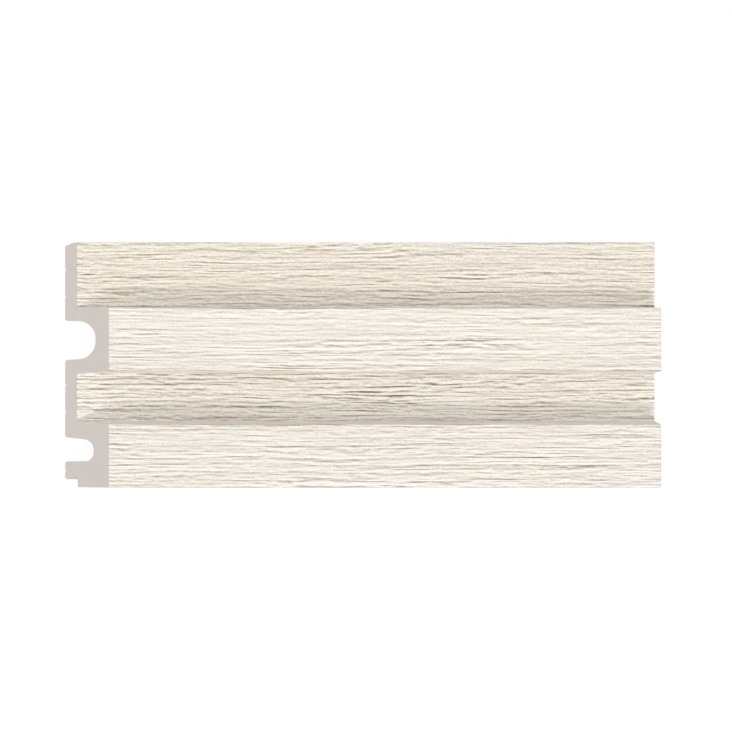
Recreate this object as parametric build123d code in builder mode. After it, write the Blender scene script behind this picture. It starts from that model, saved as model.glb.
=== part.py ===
"""Slatted three-dimensional wall panel, one foamed-plastic extrusion cut to a short length.

The panel lies on its back. +X runs along the slats, +Y across them towards the thin tongue edge
and +Z out of the wall. The origin is the middle of the back. One end is sawn square and the other
on a slant, so the section shows from the front.
"""

import os
from math import cos, radians, sin, tan

from build123d import *

# Overall sizes, in millimetres and degrees
panel_length = 300.0  # along the back, from the tip of the slanted cut to the square end
cover_width = 120.0  # what one panel adds to the height of a wall
panel_thickness = 22.0  # back to slat face
base_thickness = 6.0  # back to recess face
end_cut_angle = 50.0  # slant of the left end, measured from a square cut

# Face: two slats with a recess above each
slat_width = 31.3  # across a slat's face
recess_width = 26.4  # between the two slat faces
slat_draft = 4.0  # lean of a slat's sides
slat_edge_radius = 0.5
recess_corner_radius = 1.0

# Lap joint: the tongue edge goes behind the lower slat of the next panel
tongue_reach = 4.0  # how far the tongue goes into the next panel's rebate
tongue_bevel_depth = 4.2
joint_bevel = 18.0  # slope of the tongue's edge and of the foot it meets
joint_clearance = 0.5  # left between the tongue and the rebate
foot_width = 7.4  # between the rebate's root and the groove behind the lower slat
foot_tip_radius = 1.2

# Grooves that hollow the slats from behind
groove_draft = 3.0  # lean of a groove's sides
groove_flat = 1.4  # flat at the bottom of a groove, between its two arcs
groove_mouth_radius = 1.4
upper_groove_width = 20.0
upper_groove_depth = 15.5
lower_groove_width = 12.3
lower_groove_depth = 14.5

# V-shaped key lines for the glue, cut into the back
key_width = 1.8
key_depth = 0.5
key_spacing = 13.7  # between the two lines of a pad

pick_reach = 0.01  # corners are picked within this much of their stated place

# Heights across the section, measured from the lower edge
panel_width = cover_width + tongue_reach
bevel_slope = tan(radians(joint_bevel))
draft_slope = tan(radians(slat_draft))
draft_run = (panel_thickness - base_thickness) * draft_slope
rebate_depth = base_thickness + joint_clearance
rebate_root = tongue_reach + joint_clearance + (rebate_depth - tongue_bevel_depth) * bevel_slope
foot_low = rebate_root - rebate_depth * bevel_slope
tongue_back = panel_width - tongue_bevel_depth * bevel_slope
lower_slat_low = (panel_thickness - rebate_depth) * draft_slope
lower_slat_high = lower_slat_low + slat_width
upper_slat_low = lower_slat_high + recess_width
upper_slat_high = upper_slat_low + slat_width

# Grooves as (lower side, upper side, depth): the lower slat also carries the foot
lower_groove_low = rebate_root + foot_width
lower_groove_high = lower_groove_low + lower_groove_width
upper_groove_low = (upper_slat_low + upper_slat_high - upper_groove_width) / 2
upper_groove_high = upper_groove_low + upper_groove_width
grooves = [
    (lower_groove_low, lower_groove_high, lower_groove_depth),
    (upper_groove_low, upper_groove_high, upper_groove_depth),
]

# Key lines: one in the foot, and two each in the pads above the grooves
middle_pad = (lower_groove_high + upper_groove_low) / 2
upper_pad = (upper_groove_high + tongue_back) / 2
key_lines = [
    (foot_low + lower_groove_low) / 2,
    middle_pad - key_spacing / 2,
    middle_pad + key_spacing / 2,
    upper_pad - key_spacing / 2,
    upper_pad + key_spacing / 2,
]

# The section stands across the length; the slanted cut rises from the tip at the back
section_plane = Plane(
    origin=(-panel_length / 2, -panel_width / 2, 0), x_dir=(0, 1, 0), z_dir=(1, 0, 0)
)
slant = radians(end_cut_angle)
slanted_cut = Plane(origin=(-panel_length / 2, 0, 0), z_dir=(cos(slant), 0, -sin(slant)))

with BuildPart() as wall_panel:
    with BuildSketch(section_plane) as section:
        # Up the face from the lower slat to the tongue, then down the back to the rebate
        with BuildLine():
            Polyline(
                (lower_slat_low, panel_thickness),
                (lower_slat_high, panel_thickness),
                (lower_slat_high + draft_run, base_thickness),
                (upper_slat_low - draft_run, base_thickness),
                (upper_slat_low, panel_thickness),
                (upper_slat_high, panel_thickness),
                (upper_slat_high + draft_run, base_thickness),
                (panel_width, base_thickness),
                (panel_width, tongue_bevel_depth),
                (tongue_back, 0),
                (foot_low, 0),
                (rebate_root, rebate_depth),
                (0, rebate_depth),
                close=True,
            )
        make_face()

        # Edges of the slats, inner corners of the recesses, tip of the foot
        fillet(section.vertices().group_by(Axis.Y)[-1], slat_edge_radius)
        at_recess = section.vertices().filter_by_position(
            Axis.Y, base_thickness - pick_reach, base_thickness + pick_reach
        )
        fillet(at_recess.sort_by(Axis.X)[:-1], recess_corner_radius)
        at_back = section.vertices().group_by(Axis.Y)[0]
        fillet(at_back.sort_by(Axis.X)[0], foot_tip_radius)

        # Grooves with tapered sides, two arcs at the bottom and rounded mouths
        for low, high, depth in grooves:
            taper = depth * tan(radians(groove_draft))
            with BuildLine():
                Polyline(
                    (low, 0), (low + taper, depth), (high - taper, depth), (high, 0), close=True
                )
            make_face(mode=Mode.SUBTRACT)
            arc_reach = (high - low - groove_flat) / 2 - taper
            arc_radius = arc_reach * tan(radians(45 + groove_draft / 2))
            for height, radius in ((depth, arc_radius), (0, groove_mouth_radius)):
                corners = section.vertices().filter_by_position(
                    Axis.Y, height - pick_reach, height + pick_reach
                )
                corners = corners.filter_by_position(Axis.X, low - pick_reach, high + pick_reach)
                fillet(corners, radius)

        # Key lines
        with Locations(*[(height, 0) for height in key_lines]):
            Polygon(
                (-key_width / 2, 0),
                (key_width / 2, 0),
                (0, key_depth),
                align=None,
                mode=Mode.SUBTRACT,
            )
    extrude(amount=panel_length)
    split(bisect_by=slanted_cut, keep=Keep.TOP)

wall_panel.part.label = "wall_panel"
os.makedirs("parts", exist_ok=True)
export_step(wall_panel.part, "parts/wall_panel.step")
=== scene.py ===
"""Dresses the slatted wall panel: a film embossed with wood grain on its face, and bare foam at its
cut ends and on its back. Sizes are in millimetres unless a comment says otherwise."""

import math

import bpy
import numpy as np
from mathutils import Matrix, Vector
from mathutils.geometry import tessellate_polygon


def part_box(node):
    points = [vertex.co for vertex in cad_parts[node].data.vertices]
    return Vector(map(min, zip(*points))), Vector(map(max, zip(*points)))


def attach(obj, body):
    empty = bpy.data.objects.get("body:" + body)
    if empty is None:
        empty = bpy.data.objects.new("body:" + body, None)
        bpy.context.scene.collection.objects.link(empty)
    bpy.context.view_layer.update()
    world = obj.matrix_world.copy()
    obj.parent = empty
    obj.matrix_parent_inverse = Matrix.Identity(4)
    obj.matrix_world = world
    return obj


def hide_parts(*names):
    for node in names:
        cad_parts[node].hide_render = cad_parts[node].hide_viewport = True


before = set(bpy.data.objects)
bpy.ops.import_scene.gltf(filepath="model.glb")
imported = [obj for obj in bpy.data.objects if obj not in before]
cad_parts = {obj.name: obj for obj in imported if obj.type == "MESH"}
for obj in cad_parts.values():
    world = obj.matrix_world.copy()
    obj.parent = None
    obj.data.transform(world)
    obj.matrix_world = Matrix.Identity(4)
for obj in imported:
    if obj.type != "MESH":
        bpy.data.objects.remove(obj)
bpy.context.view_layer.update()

# Millimetres in a metre, and the distance within which two places are one
MM = 1000
SAME_PLACE = 0.001

# Mesh of the film: steps across the grain on faces and on the slats' sides, and columns along it
FACE_STEP = 0.28
SIDE_STEP = 0.42
COLUMNS = 150

# The film is a side where it faces out of the wall by less than the first of these, and a face where
# by more than the second, with 1 as straight out; the least width of a face; and the least turn, in
# degrees, of a sharp corner in the bare foam
SIDE_LEVEL, FACE_LEVEL = 0.45, 0.95
LEAST_FACE = 5.0
SHARP_TURN = 30.0

# Embossed grain: the grid that it is worked out on, its room past the film and where the film starts
# on it, and its size in relief
GRID_ACROSS, GRID_ALONG = 0.1, 0.5
GRAIN_SEED = 11
GRAIN_ROOM, GRAIN_START = 20.0, 5.0
RIDGE_HEIGHT = 0.040
VALLEY_DEPTH = 0.065
DEEPEST = 0.40
EDGE_FADE = 1.5
SIDE_RELIEF = 0.4

# The faces from the tongue edge down: recess, slat, recess, slat; and the slats' sides, whose darker cream
# is painted shade. Contrast of the grain and lightness of the cream are given at each face's upper and
# lower edge;
# that lightness is partly the print's own tone and partly painted light and shade
FACE_CONTRAST = np.array([(1.00, 1.28), (0.56, 1.18), (1.76, 1.30), (0.95, 1.18)])
# Lightness of the cream down each face: partly the print's own tone, partly painted light and shade
FACE_TONE_AND_PAINTED_LIGHT = np.array([(0.962, 1.010), (1.030, 0.985), (1.000, 1.035), (0.990, 1.000)])
FACE_CREAM = np.array([
    (0.842, 0.780, 0.687),
    (0.839, 0.790, 0.722),
    (0.839, 0.792, 0.722),
    (0.834, 0.783, 0.716),
])
# The slats' sides: a darker cream that is painted shade
SIDE_PAINTED_SHADE_CREAM = np.array((0.800, 0.757, 0.700))

# Wrinkles pressed between the grain lines: how much they shade each face, their size in metres, how
# far they swerve as a multiple of their width, and how many swerves there are in a metre
FACE_WRINKLE = np.array((0.085, 0.026, 0.085, 0.040))
WRINKLE_SIZE = (0.0022, 0.0010, 0.0010)
SWERVE, SWERVE_SCALE = 9.0, 70.0

# Cut edges of the film: how far in they show, how far the square end is rounded, how dark they are, and
# how dark the painted shade is at the film's bends, in the creases at the slats' feet and on their rounded
# edges
CUT_REACH, CUT_DROP = 0.35, 0.10
CUT_DARK, SLAT_END_DARK = 1.2, 2.4
CREASE_PAINTED_SHADE, EDGE_PAINTED_SHADE = 1.0, 1.7

# Print on the film, as its tone for a height of the grain
PRINT_UP, PRINT_DOWN, PRINT_SOFT = 0.088, 0.086, 1.8
PRINT_LOW, PRINT_HIGH, PRINT_STOPS = -6.0, 2.5, 14
PRINT_GAMMA, PRINT_DARKEST = 2.2, 0.2
STREAK_WARMTH = (0.945, 1.0, 1.085)

# Range of a noise texture that is put to use. Scales of textures are in cells to the metre, and
# heights of bumps in metres
NOISE_LOW, NOISE_HIGH = 0.3, 0.7

# Film: slow drifts of tint, patches of hue, flecks, and roughness from low grain to high
TINT_REACH, TINT_RED, TINT_BLUE = 2.0, 0.005, 0.015
HUE_SCALE, HUE_SPREAD, HUE_BASE = (70.0, 280.0, 280.0), (0.11, 0.0, 0.10), (0.945, 1.0, 0.95)
FLECK_SCALE, FLECK = (800.0, 2000.0, 2000.0), 0.10
FLECK_BUMP, FLECK_HEIGHT = 0.3, 0.0001
ROUGH_LOW, ROUGH_HIGH = (-3.0, 0.85), (1.5, 0.55)
FILM_SPECULAR = 0.25

# Foam: its colour, its cells, clouds and die streaks, and its gloss
FOAM = (0.662, 0.613, 0.576)
CELL_REACH, CELL_DARK, CELL_PALE, CELL_HEIGHT = 0.9, 0.955, 1.04, 0.0002
CLOUD_SCALE, CLOUD = 90.0, 0.015
STREAK_SCALE = (5.0, 900.0, 900.0)
FOAM_ROUGH, FOAM_SPECULAR = 0.9, 0.1

# Camera: height over the slat faces, where it stands, half the width that it sees at the recess, the
# recess's drop from the slat faces, and the width of its sensor
CAMERA_HEIGHT = 711.0
CAMERA_X, CAMERA_Y = 3.75, -0.65
HALF_VIEW, RECESS_DROP = 185.5, 16.0
SENSOR = 36.0

# Light: a sky that is brighter on the panel's lower side, and a soft sun from the lower right. Angles
# are in degrees
SKY, SKY_TILT = 0.89, 0.13
SKY_COLOUR = (1.006, 1.0, 1.007)
SUN = 0.60
SUN_COLOUR = (0.94, 0.92, 0.81)
SUN_ELEVATION, SUN_SIDE, SUN_SIZE = 56.0, -8.0, 11.0

# Floor: how much light it sends back, how much of its look is plain white beside the shadow, and how
# bright that white is; half its width and its drop under the panel, in metres
FLOOR_GREY = 0.50
FLOOR_GLOW, GLOW_STRENGTH = 0.90, 1.065
FLOOR_REACH, FLOOR_DROP = 4.0, 0.0003

# Map for baking: millimetres across it, and where the bare foam and the two cut ends start on it
MAP_WIDTH = 310.0
BARE_START = (0.0, 0.63)
SLANTED_START, SQUARE_START = (0.52, 0.75), (0.52, 0.64)

# Kinds of face, in the order that they are made; both cut ends have the slanted end's material
FILM, BARE, SLANTED, SQUARE = range(4)


# Section of the panel, read from the CAD node
def mesh_points(mesh):
    return np.array([v.co for v in mesh.vertices]) * MM


def end_outline(mesh):
    """Closed section at the square end, from the tongue's front corner down the face and back."""
    points = mesh_points(mesh)
    at_end = points[:, 0] > points[:, 0].max() - SAME_PLACE
    spot = [tuple(p) for p in points[:, 1:].round(4)]
    sides = set()
    for face in mesh.polygons:
        if all(at_end[i] for i in face.vertices):
            ring = [spot[i] for i in face.vertices]
            sides.update(zip(ring, ring[1:] + ring[:1]))
    after = {a: b for a, b in sides if (b, a) not in sides}
    widest = max(p[0] for p in after)
    start = max((p for p in after if p[0] > widest - SAME_PLACE), key=lambda p: p[1])
    loop = [start]
    while after[loop[-1]] != start:
        loop.append(after[loop[-1]])
    return np.array(loop)


def end_slant(mesh):
    """Tip of the slanted end at the back, the square end, and the slant's lean for each millimetre out."""
    points = mesh_points(mesh)
    top = points[:, 2].max()
    tip = points[:, 0].min()
    lean = (points[points[:, 2] > top - SAME_PLACE, 0].min() - tip) / top
    return tip, points[:, 0].max(), lean


def divide(points):
    """Adds points on the long runs: close together on faces, further apart on the slats' sides."""
    out = [points[0]]
    for a, b in zip(points[:-1], points[1:]):
        run = b - a
        step = FACE_STEP if abs(run[0]) > abs(run[1]) else SIDE_STEP
        count = max(1, round(float(np.hypot(*run)) / step))
        out += [a + run * k / count for k in range(1, count + 1)]
    return np.array(out)


def part_outline(outline):
    """The film, down to the back of the lower edge and divided, and the bare foam after it."""
    lowest = outline[:, 0].min()
    at_lowest = np.flatnonzero(outline[:, 0] < lowest + SAME_PLACE)
    lip = min(at_lowest, key=lambda i: outline[i, 1])
    return divide(outline[: lip + 1]), outline[lip + 1 :]


def outward(points):
    """Outward normals of the open outline, by averaging the runs beside each point."""
    run = np.diff(points, axis=0)
    side = np.stack([run[:, 1], -run[:, 0]], 1)
    side /= np.linalg.norm(side, axis=1, keepdims=True)
    whole = np.concatenate([side[:1], side[:-1] + side[1:], side[-1:]])
    return whole / np.linalg.norm(whole, axis=1, keepdims=True)


def face_edges(flat, down):
    """Upper and lower edge of each face, as lengths down the film."""
    turns = np.flatnonzero(np.diff(flat.astype(int)))
    starts = [0] + [t + 1 for t in turns if not flat[t]]
    ends = [t for t in turns if flat[t]] + [len(flat) - 1]
    runs = [(down[s], down[e]) for s, e in zip(starts, ends) if down[e] - down[s] > LEAST_FACE]
    return np.ravel(runs)


def run_lengths(points):
    """Length along an outline up to each of its points."""
    return np.concatenate([[0], np.cumsum(np.linalg.norm(np.diff(points, axis=0), axis=1))])


# Grain: seeded noise, shaped in the frequency domain into lines, cracks and slow drifts
def soften(frequency, width):
    return np.exp(-2 * (np.pi * frequency * width) ** 2)


class Grain:
    """Embossed grain over a developed strip: across is down the face, along is the panel's length."""

    # Fine lines: pitch, width, and each run's share and length; how much they fade, over what size
    FINE_PITCH, FINE_WIDTH = 1.0, 0.32
    RUNS = ((0.16, 0.8), (0.25, 2.0), (0.14, 5.0), (0.25, 12.0), (0.20, 30.0))
    FADE, FADE_SIZE = 0.25, (1.6, 12.0)

    # Cracks: pitch, width and run; the level where they open and its drift; their depth and raised lips
    CRACK_LINES = (2.0, 0.24, 7.0)
    CRACK_LEVEL, CRACK_DRIFT, CRACK_DRIFT_SIZE = 1.05, 0.55, (1.0, 9.0)
    CRACK_DEPTH, LIP_WIDTH, LIP_SHARE = 3.2, 0.50, 1.3

    # Bends of all the lines, as amounts and sizes, and the size of the drifts of tint
    BENDS = ((0.22, (2.4, 13.0)), (0.06, (0.8, 4.0)))
    TINT_SIZE = (3.0, 25.0)

    def __init__(self, seed, across, along):
        self.rng = np.random.default_rng(seed)
        self.shape = (int(across / GRID_ACROSS), int(along / GRID_ALONG))
        self.across = np.abs(np.fft.fftfreq(self.shape[0], GRID_ACROSS))[:, None]
        self.along = np.fft.rfftfreq(self.shape[1], GRID_ALONG)[None, :]
        fine = self.fine_lines()
        self.field = fine - self.cracks()
        self.bend = sum(amount * self.drift(*size) for amount, size in self.BENDS)
        self.tint = self.drift(*self.TINT_SIZE)

    def noise(self, weight):
        spectrum = np.fft.rfft2(self.rng.standard_normal(self.shape)) * weight
        made = np.fft.irfft2(spectrum, self.shape)
        return (made - made.mean()) / made.std()

    def lines(self, pitch, width, run):
        band = self.across / (self.across + 1 / pitch) * soften(self.across, width)
        return self.noise(band * soften(self.along, run))

    def drift(self, wide, run):
        return self.noise(soften(self.across, wide) * soften(self.along, run))

    def fine_lines(self):
        fine = sum(
            math.sqrt(share) * self.lines(self.FINE_PITCH, self.FINE_WIDTH, run)
            for share, run in self.RUNS
        )
        return fine * np.exp(self.FADE * self.drift(*self.FADE_SIZE))

    def cracks(self):
        """Depth of the cracks, which is less than nothing at their raised lips."""
        lines = self.lines(*self.CRACK_LINES)
        level = self.CRACK_LEVEL - self.CRACK_DRIFT * self.drift(*self.CRACK_DRIFT_SIZE)
        split = np.clip(-lines - level, 0, None)
        lips = np.fft.irfft2(np.fft.rfft2(split) * soften(self.across, self.LIP_WIDTH), self.shape)
        return self.CRACK_DEPTH * (split - self.LIP_SHARE * lips)

    def at(self, field, across, along):
        """Field at places in millimetres, wrapping round the strip's ends."""
        row, column = across / GRID_ACROSS, along / GRID_ALONG
        r, c = np.floor(row).astype(int), np.floor(column).astype(int)
        u, v = row - r, column - c
        rows, columns = self.shape
        r0, r1, c0, c1 = r % rows, (r + 1) % rows, c % columns, (c + 1) % columns
        upper = field[r0, c0] * (1 - v) + field[r0, c1] * v
        lower = field[r1, c0] * (1 - v) + field[r1, c1] * v
        return upper * (1 - u) + lower * u

    def read(self, across, along):
        """Grain, bent a little so that its lines aren't straight, and the slow drift of tint."""
        bent = across + self.at(self.bend, across, along)
        return self.at(self.field, bent, along), self.at(self.tint, across, along)


# Panel mesh
def emboss(value, strength, border):
    """Relief of the film for a height of the grain, rounded off at the square end."""
    relief = RIDGE_HEIGHT * np.clip(value, 0, None) + VALLEY_DEPTH * np.clip(value, None, 0)
    relief = np.clip(relief, -DEEPEST, None) * strength
    relief[:, -1:] -= CUT_DROP * border
    return relief


def darken_edges(value, film, facing, down):
    """Painted shade as dark lines where the film bends, at the full amount half way round each bend, and
    dark
    lines where it is cut: at the slanted end, the tongue edge and the slats' square ends."""
    on_slat = film[:, 1] > film[:, 1].mean()
    # Painted shade at the bends: the creases at the slats' feet and the slats' rounded edges
    bends = (2 * facing[:, 0] * facing[:, 1]) ** 2
    value -= (bends * np.where(on_slat, EDGE_PAINTED_SHADE, CREASE_PAINTED_SHADE))[:, None]
    value[:, 0] -= CUT_DARK
    value[down < CUT_REACH] -= CUT_DARK
    value[on_slat, -1] -= SLAT_END_DARK


def dress_film(film, down, tip, end, lean):
    """Grid of the film, rows down the face and columns along it: its places, and what its print needs."""
    facing = outward(film)
    flatness = np.abs(facing[:, 1])
    on_face = np.clip((flatness - SIDE_LEVEL) / (FACE_LEVEL - SIDE_LEVEL), 0, 1)[:, None]
    edges = face_edges(flatness > FACE_LEVEL, down)
    contrast = np.interp(down, edges, FACE_CONTRAST.ravel())[:, None]
    wrinkle = np.interp(down, edges, np.repeat(FACE_WRINKLE, 2))[:, None]
    cream = np.stack([np.interp(down, edges, np.repeat(tones, 2)) for tones in FACE_CREAM.T], 1)
    # Lightness down each face: partly the print's own tone, partly painted light and shade
    cream *= np.interp(down, edges, FACE_TONE_AND_PAINTED_LIGHT.ravel())[:, None]
    # The slats' sides take the darker side cream, which is painted shade
    cream = SIDE_PAINTED_SHADE_CREAM + (cream - SIDE_PAINTED_SHADE_CREAM) * on_face
    border = np.clip(down / EDGE_FADE, 0, 1) * np.clip((down[-1] - down) / EDGE_FADE, 0, 1)
    border = border[:, None]

    cut = CUT_REACH / (end - tip)
    share = np.concatenate([[0, cut], np.linspace(0, 1, COLUMNS)[1:-1], [1 - cut, 1]])
    left = tip + lean * film[:, 1:]
    along = left + (end - left) * share
    grain = Grain(GRAIN_SEED, down[-1] + GRAIN_ROOM, end - tip + GRAIN_ROOM)
    value, tint = grain.read(np.broadcast_to(down[:, None], along.shape), along - tip + GRAIN_START)
    value = value * contrast
    relief = emboss(value, (SIDE_RELIEF + (1 - SIDE_RELIEF) * on_face) * border, border)
    darken_edges(value, film, facing, down)

    # The relief moves the film in and out, so it meets the slanted cut in a new place
    place = film[:, None, :] + relief[..., None] * facing[:, None, :]
    left = tip + lean * place[..., 1]
    along = left + (end - left) * share
    prints = {
        "grain": value,
        "tint": tint,
        "wrinkle": np.broadcast_to(wrinkle, value.shape),
        "cream": np.broadcast_to(cream[:, None, :], (*value.shape, 3)),
    }
    return np.concatenate([along[..., None], place], 2), prints


def cap(ring, points, way):
    """Triangles that close an end: way is 1 where they face along X, and -1 where they face back."""
    flat = [Vector((points[i, 1], points[i, 2], 0)) for i in ring]
    faces = []
    for a, b, c in tessellate_polygon([flat]):
        turn = (flat[b] - flat[a]).cross(flat[c] - flat[a]).z
        order = (a, b, c) if turn * way > 0 else (a, c, b)
        faces.append([ring[i] for i in order])
    return faces


def panel_faces(points, rows, columns, bare_count):
    """Faces and their kinds, and the rings of points round the slanted and the square end."""
    grid = np.arange(rows * columns).reshape(rows, columns)
    bare_left = list(range(grid.size, grid.size + bare_count))
    bare_right = [i + bare_count for i in bare_left]
    slanted = grid[:, 0].tolist() + bare_left
    square = grid[:, -1].tolist() + bare_right

    quads = np.stack([grid[:-1, :-1], grid[1:, :-1], grid[1:, 1:], grid[:-1, 1:]], -1)
    film = quads.reshape(-1, 4).tolist()
    strips = [grid[-1].tolist(), *(list(pair) for pair in zip(bare_left, bare_right)), grid[0].tolist()]
    bare = [[upper[0]] + lower + upper[:0:-1] for upper, lower in zip(strips[:-1], strips[1:])]
    groups = {FILM: film, BARE: bare, SLANTED: cap(slanted, points, -1), SQUARE: cap(square, points, 1)}
    kinds = np.repeat(list(groups), [len(group) for group in groups.values()])
    return sum(groups.values(), []), kinds, slanted, square


def mark_sharp(mesh, loop, rows, columns, slanted, square):
    """Hard edges round the cut ends, along the film's borders, and along the corners of the bare foam."""
    run = np.diff(loop, axis=0)
    heading = np.arctan2(run[:, 1], run[:, 0])
    turn = np.abs((np.diff(heading) + np.pi) % (2 * np.pi) - np.pi)
    turned = turn > math.radians(SHARP_TURN)
    border = np.zeros((rows, columns), bool)
    border[[0, -1]] = True
    corner = np.concatenate([border.ravel(), turned, turned])
    end = np.zeros(len(corner), int)
    end[slanted] = SLANTED
    end[square] = SQUARE
    sharp = []
    for edge in mesh.edges:
        a, b = edge.vertices
        sharp.append(bool(corner[a] and corner[b] or end[a] and end[a] == end[b]))
    mesh.attributes.new("sharp_edge", "BOOLEAN", "EDGE").data.foreach_set("value", sharp)


def lay_out(mesh, points, kinds, down, back, columns, lean):
    """Flat map for baking: the film at full size, the bare foam at half size, and the two cut ends. The
    lengths down the film and back along the bare foam are the places across the grain."""
    rows, bare_count = len(down), len(back) - 2
    film_length = np.concatenate([np.repeat(down[-1] - down, columns), np.zeros(2 * bare_count)])
    border_length = np.repeat(np.where(np.arange(rows) < rows / 2, 0, back[-1]), columns)
    bare_length = back[-1] - back[1:-1]
    bare_length = np.concatenate([border_length, bare_length, bare_length])

    x = points[:, 0] - points[:, 0].min()
    y = points[:, 1] - points[:, 1].min()
    z = points[:, 2]
    maps = np.stack([
        np.stack([x, film_length], 1) / MAP_WIDTH,
        np.stack([x, bare_length], 1) / MAP_WIDTH / 2 + BARE_START,
        np.stack([y.max() - y, z * math.hypot(1, lean)], 1) / MAP_WIDTH + SLANTED_START,
        np.stack([y, z], 1) / MAP_WIDTH + SQUARE_START,
    ])
    sizes = [polygon.loop_total for polygon in mesh.polygons]
    vertex = np.empty(len(mesh.loops), int)
    mesh.loops.foreach_get("vertex_index", vertex)
    places = maps[np.repeat(kinds, sizes), vertex]
    mesh.uv_layers.new(name="OFBake").uv.foreach_set("vector", places.astype(np.float32).ravel())


def store_prints(mesh, prints):
    """What the film's print needs at each of its points; the bare foam's points come after, at zero."""
    for name, data in prints.items():
        width = data.shape[2] if data.ndim == 3 else 1
        whole = np.zeros(len(mesh.vertices) * width)
        whole[: data.size] = data.ravel()
        kind, key = ("FLOAT_VECTOR", "vector") if width == 3 else ("FLOAT", "value")
        mesh.attributes.new(name, kind, "POINT").data.foreach_set(key, whole)


def build_panel(cad):
    tip, end, lean = end_slant(cad.data)
    film, bare = part_outline(end_outline(cad.data))
    down = run_lengths(film)
    film_points, prints = dress_film(film, down, tip, end, lean)
    rows, columns = film_points.shape[:2]
    bare_left = np.column_stack([tip + lean * bare[:, 1], bare])
    bare_right = np.column_stack([np.full(len(bare), end), bare])
    points = np.concatenate([film_points.reshape(-1, 3), bare_left, bare_right])
    faces, kinds, slanted, square = panel_faces(points, rows, columns, len(bare))

    mesh = bpy.data.meshes.new("faced_panel")
    mesh.from_pydata((points / MM).tolist(), [], faces)
    made = bpy.data.objects.new("faced_panel", mesh)
    bpy.context.scene.collection.objects.link(made)
    mesh.polygons.foreach_set("use_smooth", [True] * len(faces))
    mesh.polygons.foreach_set("material_index", np.minimum(kinds, SLANTED))
    loop = np.concatenate([film[-1:], bare, film[:1]])
    mark_sharp(mesh, loop, rows, columns, slanted, square)
    lay_out(mesh, points, kinds, down, run_lengths(loop), columns, lean)
    store_prints(mesh, prints)
    mesh.update()
    return made


# Nodes
def node(tree, kind, inputs=None, **settings):
    made = tree.nodes.new("ShaderNode" + kind)
    for key, value in settings.items():
        setattr(made, key, value)
    for key, value in (inputs or {}).items():
        if isinstance(value, bpy.types.NodeSocket):
            tree.links.new(value, made.inputs[key])
        else:
            made.inputs[key].default_value = value
    return made


def attribute(tree, name):
    return node(tree, "Attribute", attribute_name=name).outputs


def noise(tree, vector, detail, scale=1.0):
    return node(tree, "TexNoise", {"Vector": vector, "Scale": scale, "Detail": detail}).outputs


def stretched(tree, vector, scale):
    return node(tree, "Mapping", {"Vector": vector, "Scale": scale}).outputs[0]


def math_node(tree, operation, *values):
    return node(tree, "Math", dict(enumerate(values)), operation=operation).outputs[0]


def vector_node(tree, operation, *vectors):
    return node(tree, "VectorMath", dict(enumerate(vectors)), operation=operation).outputs[0]


def dimmed(tree, colour, shade):
    return node(tree, "VectorMath", {0: colour, "Scale": shade}, operation="SCALE").outputs[0]


def span(tree, value, low, high, to_low, to_high):
    """Maps a value from one range to another, and holds it there."""
    inputs = {"Value": value, "From Min": low, "From Max": high, "To Min": to_low, "To Max": to_high}
    return node(tree, "MapRange", inputs).outputs[0]


def vary(tree, value, amount):
    """A noise texture's value as 1, more or less an amount."""
    return span(tree, value, NOISE_LOW, NOISE_HIGH, 1 - amount, 1 + amount)


# Materials
def new_material(name):
    material = bpy.data.materials.new(name)
    material.use_nodes = True
    tree = material.node_tree
    tree.nodes.clear()
    out = tree.nodes.new("ShaderNodeOutputMaterial")
    return material, tree, out


def cover(tree, out, colour, roughness, specular, bump):
    """Ends a material with a plain surface; bump holds the inputs of its bump node."""
    inputs = {
        "Base Color": colour,
        "Roughness": roughness,
        "Specular IOR Level": specular,
        "Normal": node(tree, "Bump", bump).outputs[0],
    }
    tree.links.new(node(tree, "BsdfPrincipled", inputs).outputs[0], out.inputs["Surface"])


def print_shade(grain):
    """How pale the print is for a height of the grain, against its middle tone."""
    up, down = max(grain, 0), max(-grain, 0)
    tone = 1 + PRINT_UP * up / (1 + up / PRINT_SOFT) - PRINT_DOWN * down
    return max(PRINT_DARKEST, tone) ** PRINT_GAMMA


def print_colour(tree, grain):
    """Print: pale on the ridges and dark, a little warmer, in the cracks."""
    ramp = node(tree, "ValToRGB", {"Fac": span(tree, grain, PRINT_LOW, PRINT_HIGH, 0, 1)})
    stops = ramp.color_ramp.elements
    for k in range(PRINT_STOPS):
        place = k / (PRINT_STOPS - 1)
        shade = print_shade(PRINT_LOW + (PRINT_HIGH - PRINT_LOW) * place)
        stop = stops[0] if k == 0 else stops[-1] if k == PRINT_STOPS - 1 else stops.new(place)
        stop.color = (*[shade**power for power in STREAK_WARMTH], 1)
    return ramp.outputs["Color"]


def wrinkle_shade(tree, where):
    """Shade of the wrinkles, which swerve with a slow noise and are as strong as their attribute says."""
    size = {"Vector": where, "Scale": WRINKLE_SIZE}
    place = node(tree, "Mapping", size, vector_type="TEXTURE").outputs[0]
    swerve = noise(tree, where, detail=0.0, scale=SWERVE_SCALE)["Color"]
    place = vector_node(tree, "MULTIPLY_ADD", swerve, (0, SWERVE, 0), place)
    wrinkle = span(tree, noise(tree, place, detail=1.0)["Fac"], NOISE_LOW, NOISE_HIGH, -1, 1)
    return math_node(tree, "MULTIPLY_ADD", wrinkle, attribute(tree, "wrinkle")["Fac"], 1.0)


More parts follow.
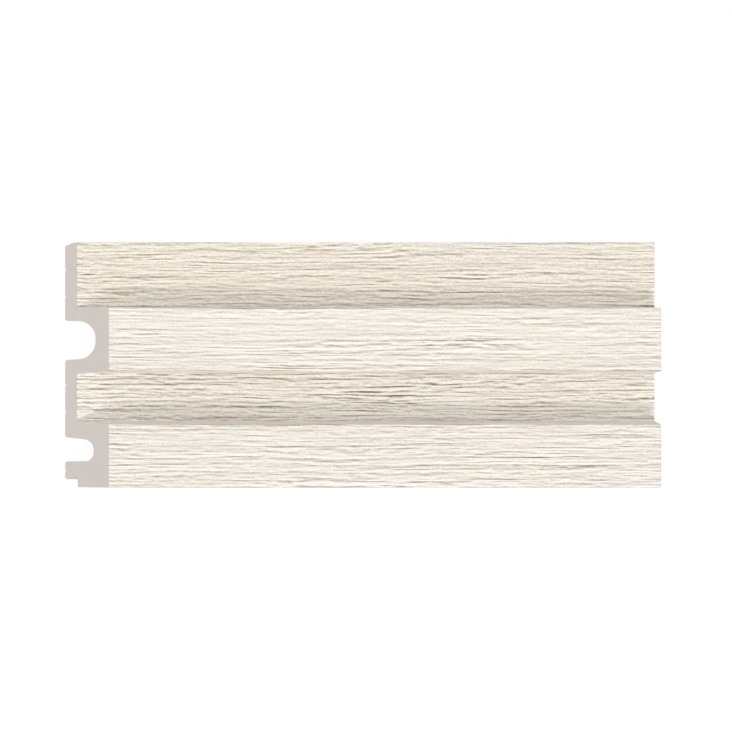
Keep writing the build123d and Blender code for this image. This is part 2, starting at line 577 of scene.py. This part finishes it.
def film_material():
    """Cream with slow drifts and patches of hue, the print of the grain, flecks and wrinkles."""
    material, tree, out = new_material("wood_grain_film")
    grain = attribute(tree, "grain")["Fac"]
    tint = attribute(tree, "tint")["Fac"]
    where = node(tree, "TexCoord").outputs["Object"]
    fleck = noise(tree, stretched(tree, where, FLECK_SCALE), detail=2.0)["Fac"]
    hue = noise(tree, stretched(tree, where, HUE_SCALE), detail=2.0)["Color"]
    hue = vector_node(tree, "MULTIPLY_ADD", hue, HUE_SPREAD, HUE_BASE)
    red, blue = (
        span(tree, tint, -TINT_REACH, TINT_REACH, 1 - amount, 1 + amount)
        for amount in (TINT_RED, TINT_BLUE)
    )
    drift = node(tree, "CombineXYZ", {"X": red, "Y": 1.0, "Z": blue}).outputs[0]

    # Cream of each face, carrying the painted shade on the slats' sides and the painted light and shade
    # down each face
    colour = attribute(tree, "cream")["Vector"]
    for layer in (drift, hue, print_colour(tree, grain)):
        colour = vector_node(tree, "MULTIPLY", colour, layer)
    colour = dimmed(tree, colour, vary(tree, fleck, FLECK))
    colour = dimmed(tree, colour, wrinkle_shade(tree, where))
    low, rough_low = ROUGH_LOW
    high, rough_high = ROUGH_HIGH
    roughness = span(tree, grain, low, high, rough_low, rough_high)
    bump = {"Height": fleck, "Strength": FLECK_BUMP, "Distance": FLECK_HEIGHT}
    cover(tree, out, colour, roughness, FILM_SPECULAR, bump)
    return material


def foam_material(name, cell, depth, stretch, streaks):
    """Foam with cells of a size in millimetres, drawn out along the panel, and streaks from the die."""
    material, tree, out = new_material(name)
    where = node(tree, "TexCoord").outputs["Object"]
    streak = noise(tree, stretched(tree, where, STREAK_SCALE), detail=3.0)["Fac"]
    drawn = stretched(tree, where, (stretch, 1.0, 1.0))
    cloud = noise(tree, drawn, detail=4.0, scale=CLOUD_SCALE)["Fac"]
    cells = node(tree, "TexVoronoi", {"Vector": drawn, "Scale": MM / cell}, feature="F1")
    cells = cells.outputs["Distance"]
    shade = span(tree, cells, 0.0, CELL_REACH, CELL_DARK, CELL_PALE)
    shade = math_node(tree, "MULTIPLY", shade, vary(tree, cloud, CLOUD))
    shade = math_node(tree, "MULTIPLY", shade, vary(tree, streak, streaks))
    bump = {"Height": cells, "Strength": depth, "Distance": CELL_HEIGHT}
    cover(tree, out, dimmed(tree, FOAM, shade), FOAM_ROUGH, FOAM_SPECULAR, bump)
    return material


def shows_background(tree):
    """1 for the rays that show what is behind the panel: to the camera, in gloss or through glass."""
    rays = node(tree, "LightPath").outputs
    shown = rays["Is Camera Ray"]
    for other in ("Is Glossy Ray", "Is Transmission Ray"):
        shown = math_node(tree, "MAXIMUM", shown, rays[other])
    return shown


def floor_material():
    """White to the camera, with a faint shadow kept; grey for the light that it sends back."""
    material, tree, out = new_material("white_floor")
    keep = math_node(tree, "MULTIPLY", shows_background(tree), FLOOR_GLOW)
    matt = node(tree, "BsdfDiffuse", {"Color": (FLOOR_GREY, FLOOR_GREY, FLOOR_GREY, 1)})
    glow = node(tree, "Emission", {"Color": (1, 1, 1, 1), "Strength": GLOW_STRENGTH})
    mixed = node(tree, "MixShader", {0: keep, 1: matt.outputs[0], 2: glow.outputs[0]})
    tree.links.new(mixed.outputs[0], out.inputs["Surface"])
    return material


# Setting
def make_floor():
    mesh = bpy.data.meshes.new("floor")
    corners = [(x * FLOOR_REACH, y * FLOOR_REACH, 0) for x, y in ((-1, -1), (1, -1), (1, 1), (-1, 1))]
    mesh.from_pydata(corners, [], [(0, 1, 2, 3)])
    mesh.materials.append(floor_material())
    made = bpy.data.objects.new("floor", mesh)
    made.location.z = -FLOOR_DROP
    bpy.context.scene.collection.objects.link(made)
    return made


def make_sky():
    """White behind the panel, and a tilted sky for its light."""
    world = bpy.data.worlds.new("studio")
    bpy.context.scene.world = world
    world.use_nodes = True
    tree = world.node_tree
    tree.nodes.clear()
    way = node(tree, "TexCoord").outputs["Generated"]
    lower_side = (0, -SKY * SKY_TILT, 0)
    tilt = node(tree, "VectorMath", {0: way, 1: lower_side}, operation="DOT_PRODUCT").outputs["Value"]
    level = math_node(tree, "ADD", tilt, SKY)
    sky = node(tree, "Background", {"Color": (*SKY_COLOUR, 1), "Strength": level}).outputs[0]
    white = node(tree, "Background", {"Color": (1, 1, 1, 1), "Strength": 1.0}).outputs[0]
    mixed = node(tree, "MixShader", {0: shows_background(tree), 1: sky, 2: white})
    node(tree, "OutputWorld", {"Surface": mixed.outputs[0]})


def make_sun():
    light = bpy.data.lights.new("key", "SUN")
    light.energy = SUN
    light.color = SUN_COLOUR
    light.angle = math.radians(SUN_SIZE)
    made = bpy.data.objects.new("key", light)
    height, side = math.radians(SUN_ELEVATION), math.radians(SUN_SIDE)
    level = math.cos(height)
    toward = Vector((-level * math.sin(side), -level * math.cos(side), math.sin(height)))
    made.rotation_euler = toward.to_track_quat("Z", "Y").to_euler()
    bpy.context.scene.collection.objects.link(made)


def make_camera():
    """Camera straight over the panel."""
    data = bpy.data.cameras.new("camera")
    data.sensor_width = SENSOR
    data.lens = SENSOR / 2 * (CAMERA_HEIGHT + RECESS_DROP) / HALF_VIEW
    made = bpy.data.objects.new("camera", data)
    slat_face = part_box("wall_panel")[1].z
    made.location = (CAMERA_X / MM, CAMERA_Y / MM, slat_face + CAMERA_HEIGHT / MM)
    bpy.context.scene.collection.objects.link(made)
    bpy.context.scene.camera = made
    return made


panel = build_panel(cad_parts["wall_panel"])
panel.data.materials.append(film_material())
panel.data.materials.append(foam_material("foam_skin", cell=0.9, depth=0.15, stretch=0.1, streaks=0.05))
panel.data.materials.append(foam_material("cut_foam", cell=0.45, depth=0.35, stretch=1.0, streaks=0.0))
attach(panel, "root")
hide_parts("wall_panel")

floor = make_floor()
make_sky()
make_sun()
camera = make_camera()
bpy.context.scene.view_settings.view_transform = "Standard"
